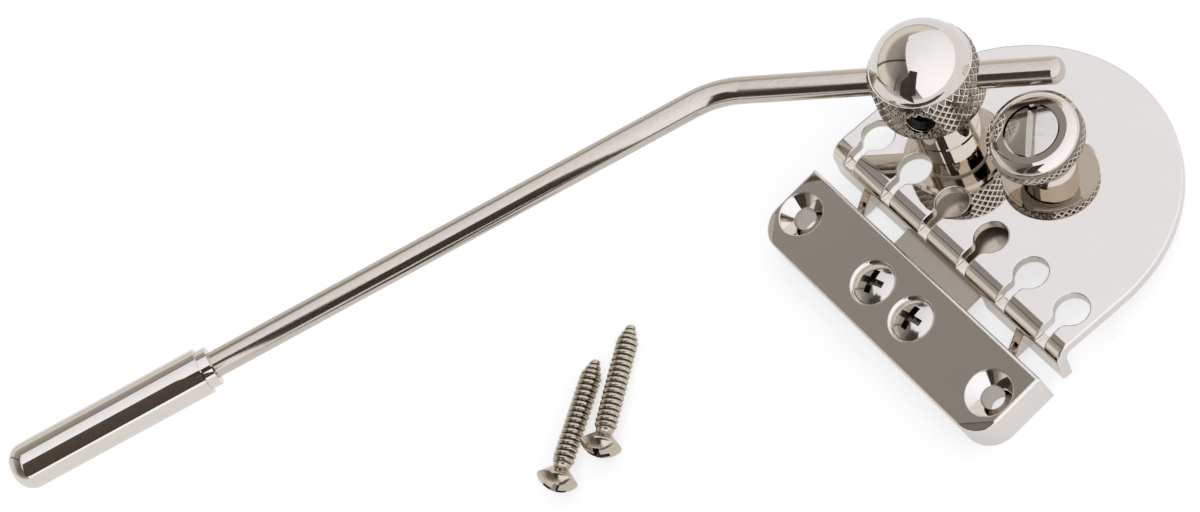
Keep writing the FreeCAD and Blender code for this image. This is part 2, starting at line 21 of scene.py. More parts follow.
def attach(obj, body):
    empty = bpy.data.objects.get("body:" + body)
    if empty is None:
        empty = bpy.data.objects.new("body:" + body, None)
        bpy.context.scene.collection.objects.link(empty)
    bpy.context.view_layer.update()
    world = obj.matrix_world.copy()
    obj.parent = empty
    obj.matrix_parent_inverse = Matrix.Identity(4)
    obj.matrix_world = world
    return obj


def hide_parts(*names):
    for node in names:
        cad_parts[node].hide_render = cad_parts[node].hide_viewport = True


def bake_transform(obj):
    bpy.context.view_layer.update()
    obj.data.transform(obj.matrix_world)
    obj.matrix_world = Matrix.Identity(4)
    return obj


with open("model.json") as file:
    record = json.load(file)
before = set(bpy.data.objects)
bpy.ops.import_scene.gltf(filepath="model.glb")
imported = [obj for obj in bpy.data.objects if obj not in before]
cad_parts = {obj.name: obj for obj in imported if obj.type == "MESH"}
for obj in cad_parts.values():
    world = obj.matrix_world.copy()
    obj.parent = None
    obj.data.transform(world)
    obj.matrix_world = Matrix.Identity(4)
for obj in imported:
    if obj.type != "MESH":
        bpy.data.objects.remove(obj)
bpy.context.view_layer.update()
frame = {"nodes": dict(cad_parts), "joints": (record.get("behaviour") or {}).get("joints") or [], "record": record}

MM = 0.001
LOG = logging.getLogger("tremolo")

Point = tuple[float, float]
Triple = tuple[float, float, float]
Face = tuple[int, ...]

# Directions in the frame.
UP: Triple = (0.0, 0.0, 1.0)
ALONG_BAR: Triple = (1.0, 0.0, 0.0)
ALONG_LEAF: Triple = (0.0, 1.0, 0.0)
ALONG_ARM: Triple = (-0.215, -0.977, 0.03)

# Sockets of a Mix node that mixes colours: its two inputs and its result.
MIX_A, MIX_B, MIX_RESULT = 6, 7, 2


class Body(Enum):
    """The bodies of the frame that a piece can ride on."""

    BAR = "bar"
    PLATE = "plate"
    HOLDER = "holder"
    KNOB = "knob"


class Slot(Enum):
    """The record's material slots that new pieces take their finish from."""

    TURNED = "nickel_turned"
    SCREWS = "nickel_screws"
    SPRING = "spring_steel"


def linear(code: str) -> tuple[float, float, float, float]:
    """Turn an sRGB hex colour into linear red, green, blue and alpha.

    Args:
        code: six hex digits after a hash sign.

    Returns:
        The linear colour with alpha 1.
    """
    parts = [int(code[k:k + 2], 16) / 255 for k in (1, 3, 5)]
    red, green, blue = (c / 12.92 if c <= 0.04045 else ((c + 0.055) / 1.055) ** 2.4 for c in parts)
    return red, green, blue, 1.0


def add_node(tree: bpy.types.NodeTree, kind: str, settings: Optional[dict[str, Any]] = None,
             links: Optional[dict[Any, bpy.types.NodeSocket]] = None) -> bpy.types.Node:
    """Add a shader node with its settings and links.

    Args:
        tree: the tree that the node goes into.
        kind: the node's type name.
        settings: attributes by name, or input values where the name starts with "in:".
        links: the sockets that feed the node's inputs, by input name or index.

    Returns:
        The new node.
    """
    node = tree.nodes.new(kind)
    for name, value in (settings or {}).items():
        if name.startswith("in:"):
            key = name[3:]
            node.inputs[int(key) if key.isdigit() else key].default_value = value
        else:
            setattr(node, name, value)
    for name, socket in (links or {}).items():
        tree.links.new(socket, node.inputs[name])
    return node


def bare_material(name: str) -> bpy.types.Material:
    """Make a material whose node tree is empty.

    Args:
        name: the material's name.

    Returns:
        The new material.
    """
    material = bpy.data.materials.new(name)
    material.use_nodes = True
    material.node_tree.nodes.clear()
    return material


@dataclass(frozen=True)
class SurfaceFinish:
    """A surface: its colour, how evenly it shines and the fine pattern left by its making.

    The pattern is one noise, stretched along a direction where the metal was drawn or rolled. Edges
    can be shaded as if they were rounded.
    """

    name: str
    colour: str
    tint: str
    roughness: Point
    grain_mm: float
    bump_mm: float = 0.0
    stretch: float = 1.0
    along: Triple = UP
    metallic: float = 1.0
    edge_mm: float = 0.0
    edge_samples: int = 8
    noise_detail: float = 3.0
    noise_roughness: float = 0.55
    noise_span: Point = (0.3, 0.7)

    def build(self) -> bpy.types.Material:
        """Make the material.

        Returns:
            The new node material.
        """
        material = bare_material(self.name)
        tree = material.node_tree
        turn = Vector(self.along).to_track_quat("Z", "Y").inverted().to_euler()
        fine = 1 / (self.grain_mm * MM)
        place = add_node(tree, "ShaderNodeTexCoord")
        turned = add_node(
            tree, "ShaderNodeMapping", {"in:Rotation": turn}, {"Vector": place.outputs["Object"]})
        grain = add_node(
            tree, "ShaderNodeMapping", {"in:Scale": (fine, fine, fine / self.stretch)},
            {"Vector": turned.outputs["Vector"]})
        noise = add_node(
            tree, "ShaderNodeTexNoise",
            {"in:Scale": 1.0, "in:Detail": self.noise_detail, "in:Roughness": self.noise_roughness},
            {"Vector": grain.outputs["Vector"]})
        shine = add_node(
            tree, "ShaderNodeMapRange",
            {"in:From Min": self.noise_span[0], "in:From Max": self.noise_span[1],
             "in:To Min": self.roughness[0], "in:To Max": self.roughness[1]},
            {"Value": noise.outputs["Fac"]})
        tone = add_node(
            tree, "ShaderNodeMix",
            {"data_type": "RGBA", f"in:{MIX_A}": linear(self.colour),
             f"in:{MIX_B}": linear(self.tint)},
            {0: noise.outputs["Fac"]})
        normal: dict[str, bpy.types.NodeSocket] = {}
        if self.edge_mm:
            edge = add_node(
                tree, "ShaderNodeBevel",
                {"samples": self.edge_samples, "in:Radius": self.edge_mm * MM})
            normal["Normal"] = edge.outputs["Normal"]
        if self.bump_mm:
            bump = add_node(
                tree, "ShaderNodeBump", {"in:Strength": 1.0, "in:Distance": self.bump_mm * MM},
                {"Height": noise.outputs["Fac"], **normal})
            normal["Normal"] = bump.outputs["Normal"]
        surface = add_node(
            tree, "ShaderNodeBsdfPrincipled", {"in:Metallic": self.metallic},
            {"Base Color": tone.outputs[MIX_RESULT], "Roughness": shine.outputs["Result"],
             **normal})
        add_node(tree, "ShaderNodeOutputMaterial", {}, {"Surface": surface.outputs["BSDF"]})
        return material


@dataclass(frozen=True)
class PaperFinish:
    """White paper that shows white to the camera and in the metal, and keeps a soft shadow."""

    name: str
    colour: str
    glow_share: float = 0.5
    mirrored_glow_share: float = 0.2
    glow_strength: float = 1.3

    def build(self) -> bpy.types.Material:
        """Make the material.

        Returns:
            The new node material.
        """
        material = bare_material(self.name)
        tree = material.node_tree
        rays = add_node(tree, "ShaderNodeLightPath")
        seen = add_node(
            tree, "ShaderNodeMath", {"operation": "MAXIMUM"},
            {0: rays.outputs["Is Camera Ray"], 1: rays.outputs["Is Transmission Ray"]})
        direct = add_node(
            tree, "ShaderNodeMath", {"operation": "MULTIPLY", "in:1": self.glow_share},
            {0: seen.outputs[0]})
        share = add_node(
            tree, "ShaderNodeMath", {"operation": "MULTIPLY_ADD", "in:1": self.mirrored_glow_share},
            {0: rays.outputs["Is Glossy Ray"], 2: direct.outputs[0]})
        paper = add_node(tree, "ShaderNodeBsdfDiffuse", {"in:Color": linear(self.colour)})
        glow = add_node(tree, "ShaderNodeEmission", {"in:Strength": self.glow_strength})
        mixed = add_node(
            tree, "ShaderNodeMixShader", {},
            {0: share.outputs[0], 1: paper.outputs[0], 2: glow.outputs[0]})
        add_node(tree, "ShaderNodeOutputMaterial", {}, {"Surface": mixed.outputs[0]})
        return material


@dataclass(frozen=True)
class Axis:
    """A place and a direction in the frame, with a side that fixes the turn about it."""

    origin: Vector
    direction: Vector
    side: Vector

    def matrix(self) -> Matrix:
        """Work out the matrix of the local frame, whose Z runs along the axis.

        Returns:
            The matrix that takes local millimetres to the frame's metres.
        """
        z = self.direction.normalized()
        x = (self.side - z * self.side.dot(z)).normalized()
        turn = Matrix((x, z.cross(x), z)).transposed().to_4x4()
        return Matrix.Translation(self.origin) @ turn @ Matrix.Scale(MM, 4)


def joint(name: str) -> dict[str, Any]:
    """Find a joint of the frame by name."""
    return next(row for row in frame["joints"] if row["name"] == name)


def make_piece(name: str, points: Iterable[Sequence[float]], faces: Iterable[Face], axis: Axis,
               smooth_deg: float = 0.0) -> bpy.types.Object:
    """Make a mesh object from local points and faces.

    Args:
        name: the piece's name.
        points: local places in millimetres.
        faces: point indices of each face.
        axis: where the local frame stands.
        smooth_deg: faces that meet at less than this angle are shaded smooth, and 0 keeps all flat.

    Returns:
        The new object, linked to the scene.
    """
    mesh = bpy.data.meshes.new(name)
    mesh.from_pydata([tuple(p) for p in points], [], list(faces))
    mesh.transform(axis.matrix())
    work = bmesh.new()
    work.from_mesh(mesh)
    bmesh.ops.recalc_face_normals(work, faces=work.faces)
    work.to_mesh(mesh)
    work.free()
    piece = bpy.data.objects.new(name, mesh)
    bpy.context.scene.collection.objects.link(piece)
    shade(piece, smooth_deg)
    return piece


def shade(piece: bpy.types.Object, smooth_deg: float) -> None:
    """Shade a piece smooth across its shallow edges.

    Args:
        piece: a mesh object.
        smooth_deg: the largest angle that is shaded smooth, and 0 keeps all faces flat.
    """
    mesh = piece.data
    mesh.polygons.foreach_set("use_smooth", [smooth_deg > 0] * len(mesh.polygons))
    if smooth_deg > 0:
        mesh.set_sharp_from_angle(angle=math.radians(smooth_deg))
    mesh.update()


def dress(piece: bpy.types.Object, material: bpy.types.Material,
          inner: Optional[bpy.types.Material] = None, inner_faces: Iterable[int] = ()) -> None:
    """Give an object its material, and a second one to some of its faces.

    Args:
        piece: a mesh object.
        material: the material of the piece.
        inner: the material of its inner faces, if it has any.
        inner_faces: the numbers of those faces.
    """
    materials = piece.data.materials
    materials.clear()
    materials.append(material)
    if inner:
        materials.append(inner)
        for k in inner_faces:
            piece.data.polygons[k].material_index = 1


def lathe(profile: Sequence[Point], segments: int) -> tuple[list[Triple], list[Face]]:
    """Turn a profile about Z.

    Args:
        profile: (radius, height) points, starting and ending on the axis.
        segments: how many sides the turned form has.

    Returns:
        Points and faces of the closed form.
    """
    rings = profile[1:-1]
    points: list[Triple] = [(0.0, 0.0, profile[0][1]), (0.0, 0.0, profile[-1][1])]
    for radius, height in rings:
        for k in range(segments):
            angle = 2 * math.pi * k / segments
            points.append((radius * math.cos(angle), radius * math.sin(angle), height))
    faces: list[Face] = []
    for k in range(segments):
        after = (k + 1) % segments
        faces.append((0, 2 + k, 2 + after))
        last = 2 + (len(rings) - 1) * segments
        faces.append((1, last + after, last + k))
        for row in range(len(rings) - 1):
            here = 2 + row * segments
            faces.append((here + k, here + segments + k, here + segments + after, here + after))
    return points, faces


def rod_points(radius: float, low: float, high: float,
               segments: int) -> tuple[list[Triple], list[Face]]:
    """Plain round bar along Z, as points and faces."""
    return lathe([(0.0, low), (radius, low), (radius, high), (0.0, high)], segments)


def cut(piece: bpy.types.Object, tool: bpy.types.Object) -> None:
    """Cut a tool's form out of a piece and delete the tool.

    Args:
        piece: the object that is cut.
        tool: a closed mesh object, whose material the cut faces get.
    """
    step = piece.modifiers.new("cut", "BOOLEAN")
    step.operation = "DIFFERENCE"
    step.solver = "EXACT"
    step.material_mode = "TRANSFER"
    step.object = tool
    graph = bpy.context.evaluated_depsgraph_get()
    result = bpy.data.meshes.new_from_object(piece.evaluated_get(graph))
    piece.modifiers.remove(step)
    piece.data = result
    bpy.data.objects.remove(tool)


@dataclass
class Knurl:
    """A band of diamond knurling: two sets of crossing ridges, with a pit in each diamond."""

    name: str
    radius: float
    low: float
    high: float
    pitch: float = 1.5
    tallness: float = 1.27
    depth: float = 0.50
    ridge_share: float = 0.80
    floor_share: float = 0.12
    sink: float = 0.5
    top_drop: float = 0.0

    def mesh(self) -> tuple[list[Triple], list[Face], list[int]]:
        """Work out the band.

        Returns:
            Points and faces of a closed sleeve, and the numbers of the faces that take the darker pit colour,
            painted shade.
        """
        teeth = round(2 * math.pi * self.radius / self.pitch)
        rows = max(2, round(2 * (self.high - self.low) / (self.pitch * self.tallness)))
        step = 2 * math.pi / teeth
        rise = (self.high - self.low) / rows
        points: list[Triple] = []
        faces: list[Face] = []
        painted_shade_pits: list[int] = []

        def at(radius: float, turn: float, row: float) -> int:
            """Add a point to the band.

            Args:
                radius: its distance from the axis, before the top row is drawn in.
                turn: its turn about the axis, in teeth.
                row: its row, counted from the bottom.

            Returns:
                The point's number.
            """
            angle = turn * step
            reach = radius - self.top_drop * max(0.0, row - rows + 1)
            points.append((reach * math.cos(angle), reach * math.sin(angle), self.low + row * rise))
            return len(points) - 1

        def crossing(column: int, row: int) -> int:
            """Number of the point where two ridges cross."""
            return row * teeth + column % teeth

        crest = self.radius + self.depth
        for row in range(rows + 1):
            for column in range(teeth):
                at(crest, column + row % 2 / 2, row)
        for row in range(rows + 1):
            for column in range(teeth):
                tip = crossing(column + row % 2, row + 1)
                toe = crossing(column + row % 2, row - 1)
                left = crossing(column, row)
                right = crossing(column + 1, row)
                if row in (0, rows):
                    # The half diamonds at the band's top and bottom take the darker pit colour too: painted shade.
                    painted_shade_pits.append(len(faces))
                    faces.append((left, right, tip) if row == 0 else (left, toe, right))
                    continue
                middle = column + row % 2 / 2 + 0.5
                corners = [left, toe, right, tip]
                for radius, share in ((crest, self.ridge_share), (self.radius, self.floor_share)):
                    ring = [
                        at(radius, middle - share / 2, row), at(radius, middle, row - share),
                        at(radius, middle + share / 2, row), at(radius, middle, row + share)]
                    if radius < crest:
                        # A pit is the four walls that come next and the floor after them; these take the darker
                        # pit colour, painted shade.
                        painted_shade_pits += range(len(faces), len(faces) + len(corners) + 1)
                    for k in range(len(corners)):
                        after = (k + 1) % len(corners)
                        faces.append((corners[k], corners[after], ring[after], ring[k]))
                    corners = ring
                faces.append(tuple(corners))
        bore = self.radius - self.sink
        inner = [at(bore, column, row) for row in (0, rows) for column in range(teeth)]
        for column in range(teeth):
            after = (column + 1) % teeth
            faces.append((crossing(column, 0), inner[column], inner[after], crossing(after, 0)))
            upper = (inner[teeth + column], inner[teeth + after])
            faces.append((crossing(column, rows), crossing(after, rows), upper[1], upper[0]))
            faces.append((inner[column], upper[0], upper[1], inner[after]))
        return points, faces, painted_shade_pits

    def build(self, axis: Axis, finish: bpy.types.Material,
              pit: bpy.types.Material) -> bpy.types.Object:
        """Make the band and dress it.

        Args:
            axis: the axis that the band runs round.
            finish: the material of its ridges.
            pit: the darker material inside its hollows, painted shade.

        Returns:
            The new object.
        """
        points, faces, painted_shade_pits = self.mesh()
        band = make_piece(self.name, points, faces, axis)
        dress(band, finish, pit, painted_shade_pits)
        return band


@dataclass
class ArmHolder:
    """The domed holder's knurled band, with its bores for the arm and for the lock screw."""

    band: Knurl = field(default_factory=lambda: Knurl(
        "holder_knurl", radius=9.2, low=9.45, high=18.4, top_drop=0.55))
    arm_bore: float = 2.55
    lock_bore: float = 2.62
    cut_reach: float = 14.0
    segments: int = 64

    def build(self, finish: bpy.types.Material,
              pit: bpy.types.Material) -> list[bpy.types.Object]:
        """Make the band and cut its bores.

        Args:
            finish: the band's material.
            pit: the darker material inside its hollows, painted shade.

        Returns:
            The new pieces.
        """
        swing, reach, lock = joint("arm_swing"), joint("arm_reach"), joint("lock_turn")
        upright, side = Vector(swing["axis"]), Vector(reach["axis"])
        band = self.band.build(Axis(Vector(swing["pos_m"]), upright, side), finish, pit)
        centre = Vector(lock["pos_m"])
        bores = (
            (side, self.arm_bore, -self.cut_reach), (Vector(lock["axis"]), self.lock_bore, 0.0))
        for direction, radius, low in bores:
            points, faces = rod_points(radius, low, self.cut_reach, self.segments)
            tool = make_piece("bore", points, faces, Axis(centre, direction, upright))
            dress(tool, finish)
            cut(band, tool)
        shade(band, 0.0)
        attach(band, Body.HOLDER.value)
        return [band]


@dataclass
class TensionKnob:
    """The thumb knob's knurled band."""

    band: Knurl = field(default_factory=lambda: Knurl(
        "knob_knurl", radius=8.0, low=5.5, high=7.72, pitch=1.3, tallness=1.14))

    def build(self, finish: bpy.types.Material,
              pit: bpy.types.Material) -> list[bpy.types.Object]:
        """Make the band.

        Args:
            finish: the band's material.
            pit: the darker material inside its hollows, painted shade.

        Returns:
            The new pieces.
        """
        turn = joint("knob_turn")
        axis = Axis(Vector(turn["pos_m"]), Vector(turn["axis"]), Vector(ALONG_BAR))
        band = self.band.build(axis, finish, pit)
        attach(band, Body.KNOB.value)
        return [band]


@dataclass
class OvalScrew:
    """An oval-head screw with a cross recess and a threaded shank, head up along its axis.

    Heights run from the head's rim, which is at zero: the dome is above it and the shank below.
    """

    name: str
    head_radius: float
    dome: float
    thread_radius: float
    core_radius: float
    pitch: float
    length: float
    neck: float
    point: float
    tip_share: float = 0.02
    crest_roundness: float = 2.6
    painted_shade_ridge_limit: float = 0.6
    recess_span: float = 4.5
    recess_width: float = 1.2
    recess_depth: float = 2.1
    recess_straight_depth: float = 0.35
    recess_taper_share: float = 0.55
    cut_above: float = 1.0
    rim_height: float = 0.22
    dome_steps: int = 14
    thread_steps: int = 14
    segments: int = 64
    smooth_deg: float = 38.0

    @property
    def cone(self) -> float:
        """Height of the cone between the head's rim and the shank."""
        return self.head_radius - self.core_radius

    def ridge_at(self, depth: float, turn: float) -> float:
        """Height of the thread at a depth and a turn, from 0 in its root to 1 on its crest."""
        phase = (depth / self.pitch + turn) % 1.0
        return 1.0 - abs(2 * phase - 1) ** self.crest_roundness

    def radius_at(self, depth: float, turn: float) -> float:
        """Work out the radius of the shank at one place.

        Args:
            depth: how far the place is below the head's rim.
            turn: its turn about the axis, from 0 to 1.

        Returns:
            The radius there.
        """
        start = self.cone + self.neck
        if depth < start:
            return self.core_radius
        fade = min(1.0, (depth - start) / self.pitch)
        thread = (self.thread_radius - self.core_radius) * self.ridge_at(depth, turn)
        radius = self.core_radius + thread * fade
        left = self.length - depth
        if self.point and left < self.point:
            radius *= self.tip_share + (1 - self.tip_share) * left / self.point
        return radius

    def mesh(self) -> tuple[list[Triple], list[Face], list[int]]:
        """Work out the screw without its recess.

        Returns:
            Points and faces of the closed form, and the numbers of the faces in the thread's root, which take the
            darker inner colour as painted shade.
        """
        ball = (self.head_radius ** 2 + self.dome ** 2) / (2 * self.dome)
        half = math.asin(min(1.0, self.head_radius / ball))
        profile: list[Point] = [(0.0, self.dome)]
        for k in range(1, self.dome_steps + 1):
            angle = half * k / self.dome_steps
            profile.append((ball * math.sin(angle), ball * math.cos(angle) - ball + self.dome))
        cone = self.cone
        profile += [
            (self.head_radius, -self.rim_height), (self.core_radius, -cone), (0.0, -self.length)]
        count = self.segments
        points, faces = lathe(profile, count)
        first = len(points) - count
        rows = max(2, round((self.length - cone) / self.pitch * self.thread_steps))
        # The lathe's foot goes, because the shank goes on from there.
        faces = [face for face in faces if 1 not in face]
        for row in range(1, rows + 1):
            depth = cone + (self.length - cone) * row / rows
            for k in range(count):
                turn = k / count
                radius = self.radius_at(depth, turn)
                angle = 2 * math.pi * turn
                points.append((radius * math.cos(angle), radius * math.sin(angle), -depth))
        painted_shade_roots: list[int] = []
        for row in range(rows):
            here = first + row * count
            depth = cone + (self.length - cone) * (row + 0.5) / rows
            threaded = depth > cone + self.neck
            for k in range(count):
                after = (k + 1) % count
                # Faces low in the thread's root are marked for the darker inner colour: painted shade.
                if threaded and self.ridge_at(depth, (k + 0.5) / count) < self.painted_shade_ridge_limit:
                    painted_shade_roots.append(len(faces))
                faces.append((here + k, here + count + k, here + count + after, here + after))
        last = first + rows * count
        faces += [(1, last + (k + 1) % count, last + k) for k in range(count)]
        return points, faces, painted_shade_roots

    def recess(self) -> tuple[list[Triple], list[Face]]:
        """Work out the tool that cuts the cross recess, narrower at its foot.

        Returns:
            Points and faces of the closed tool.
        """
        span, width = self.recess_span / 2, self.recess_width / 2
        corner = ((span, -width), (span, width), (width, width))
        outline: list[Point] = []
        for k in range(4):
            c, s = round(math.cos(k * math.pi / 2)), round(math.sin(k * math.pi / 2))
            outline += [(x * c - y * s, x * s + y * c) for x, y in corner]
        levels = (
            (1.0, self.dome + self.cut_above), (1.0, self.dome - self.recess_straight_depth),
            (self.recess_taper_share, self.dome - self.recess_depth))
        points = [(x * scale, y * scale, z) for scale, z in levels for x, y in outline]
        count = len(outline)
        faces: list[Face] = [tuple(range(count)), tuple(range(2 * count, 3 * count))]
        for level in range(len(levels) - 1):
            base = level * count
            for k in range(count):
                after = (k + 1) % count
                faces.append((base + k, base + after, base + count + after, base + count + k))
        return points, faces

    def build(self, axis: Axis, finish: bpy.types.Material, inner: bpy.types.Material, body: Body,
              node: str) -> bpy.types.Object:
        """Make the screw in place of a node.

        Args:
            axis: the head's rim, with the direction out of the head.
            finish: the screw's material.
            inner: the darker material inside its recess and in its thread's root, painted shade.
            body: the body that it rides on.
            node: the node that it stands for.

        Returns:
            The new piece.
        """
        points, faces, painted_shade_roots = self.mesh()
        screw = make_piece(self.name, points, faces, axis, self.smooth_deg)
        # The thread's root takes the darker inner colour: painted shade.
        dress(screw, finish, inner, painted_shade_roots)
        points, faces = self.recess()
        tool = make_piece("recess", points, faces, axis)
        # The recess's walls take the darker inner colour too: painted shade.
        dress(tool, inner)
        cut(screw, tool)
        shade(screw, self.smooth_deg)
        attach(screw, body.value)
        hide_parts(node)
        return screw


@dataclass
class ClampScrews:
    """The two machine screws in the middle of the bar."""

    spacing: float = 10.6
    rim_height: float = 7.15
    turns_deg: tuple[float, ...] = (20.0, 12.0)
    head_radius: float = 3.8
    dome: float = 1.2
    thread_radius: float = 2.0
    core_radius: float = 1.62
    pitch: float = 0.7
    length: float = 6.2
    neck: float = 0.8

    def build(self, finish: bpy.types.Material,
              inner: bpy.types.Material) -> list[bpy.types.Object]:
        """Make both screws.

        Args:
            finish: their material.
            inner: the darker material inside their recesses and in the root of their threads, painted shade.

        Returns:
            The new pieces.
        """
        made: list[bpy.types.Object] = []
        for k, turn in enumerate(self.turns_deg):
            x = (k - 0.5) * self.spacing
            side = Vector((math.cos(math.radians(turn)), math.sin(math.radians(turn)), 0))
            axis = Axis(Vector((x, 0, self.rim_height)) * MM, Vector(UP), side)
            screw = OvalScrew(
                f"clamp_screw_{k + 1}", self.head_radius, self.dome, self.thread_radius,
                self.core_radius, self.pitch, self.length, self.neck, point=0.0)
            made.append(screw.build(axis, finish, inner, Body.BAR, "clamp_screws"))
        return made


@dataclass
class WoodScrews:
    """The two loose screws that hold the bar to the guitar.

    They lie beside the bar, each on its head's rim and on its thread.
    """

    head_x: float = -25.2
    head_y: float = -64.6
    heading_deg: float = 125.1
    step_x: float = 1.4
    step_y: float = 10.0
    turn_deg: float = 3.8
    rolls_deg: tuple[float, ...] = (38.0, 10.0)
    lift: float = 0.05
    head_radius: float = 3.85
    dome: float = 2.0
    thread_radius: float = 2.05
    core_radius: float = 1.5
    pitch: float = 1.1
    length: float = 24.0
    neck: float = 0.4
    point: float = 3.2
    tip_share: float = 0.39

    def build(self, finish: bpy.types.Material,
              inner: bpy.types.Material) -> list[bpy.types.Object]:
        """Make both screws.

        Args:
            finish: their material.
            inner: the darker material inside their recesses and in the root of their threads, painted shade.

        Returns:
            The new pieces.
        """
        made: list[bpy.types.Object] = []
        fall = math.atan2(self.head_radius - self.thread_radius, self.length - self.point)
        height = self.head_radius * math.cos(fall) + self.lift
        for k, roll in enumerate(self.rolls_deg):
            heading = math.radians(self.heading_deg + k * self.turn_deg)
            along = Vector((
                math.cos(heading) * math.cos(fall), math.sin(heading) * math.cos(fall),
                -math.sin(fall)))
            x, y = self.head_x + k * self.step_x, self.head_y + k * self.step_y
            side = Matrix.Rotation(math.radians(roll), 3, along) @ Vector(UP)
            axis = Axis(Vector((x, y, height)) * MM, -along, side)
            screw = OvalScrew(
                f"wood_screw_{k + 1}", self.head_radius, self.dome, self.thread_radius,
                self.core_radius, self.pitch, self.length, self.neck, self.point, self.tip_share)
            made.append(screw.build(axis, finish, inner, Body.BAR, "mounting_screws"))
        return made


@dataclass
class LeafSpring:
    """The leaf, cut into short lengths between the bar and the tail plate."""

    bend_start_mm: float = 9.0
    bend_end_mm: float = 30.0
    steps: int = 24
    merge_mm: float = 0.0005
    smooth_deg: float = 25.0

    def build(self, finish: bpy.types.Material) -> list[bpy.types.Object]:
        """Make the leaf in short lengths.

        Args:
            finish: its material.

        Returns:
            The new pieces.
        """
        mesh = frame["nodes"]["leaf_spring"].data.copy()
        work = bmesh.new()
        work.from_mesh(mesh)
        bmesh.ops.remove_doubles(work, verts=work.verts, dist=self.merge_mm * MM)
        span = (self.bend_end_mm - self.bend_start_mm) * MM
        for k in range(self.steps + 1):
            place = Vector((0, self.bend_start_mm * MM + span * k / self.steps, 0))
            everything = [*work.verts, *work.edges, *work.faces]
            bmesh.ops.bisect_plane(
                work, geom=everything, plane_co=place, plane_no=Vector(ALONG_LEAF))
        work.to_mesh(mesh)
        work.free()
        leaf = bpy.data.objects.new("leaf_bending", mesh)
        bpy.context.scene.collection.objects.link(leaf)
        shade(leaf, self.smooth_deg)
        dress(leaf, finish)
        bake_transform(leaf)
        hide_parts("leaf_spring")
        return [leaf]


@dataclass(frozen=True)
class Card:
    """A dark felt card that the metal mirrors as a dark shape, unseen by the camera itself."""

    name: str
    colour: str
    corners_mm: tuple[Triple, ...]
    roughness: Point = (0.9, 1.0)
    grain_mm: float = 2.0

    def build(self) -> None:
        """Hang the card."""
        # Felt, which takes the light away where the metal mirrors it.
        felt = SurfaceFinish(
            f"{self.name} felt", self.colour, self.colour, self.roughness, self.grain_mm,
            metallic=0.0)
        axis = Axis(Vector(), Vector(UP), Vector(ALONG_BAR))
        card = make_piece(self.name, self.corners_mm, [tuple(range(len(self.corners_mm)))], axis)
        dress(card, felt.build())
        card.visible_camera = False
        card.visible_diffuse = False
        card.visible_shadow = False


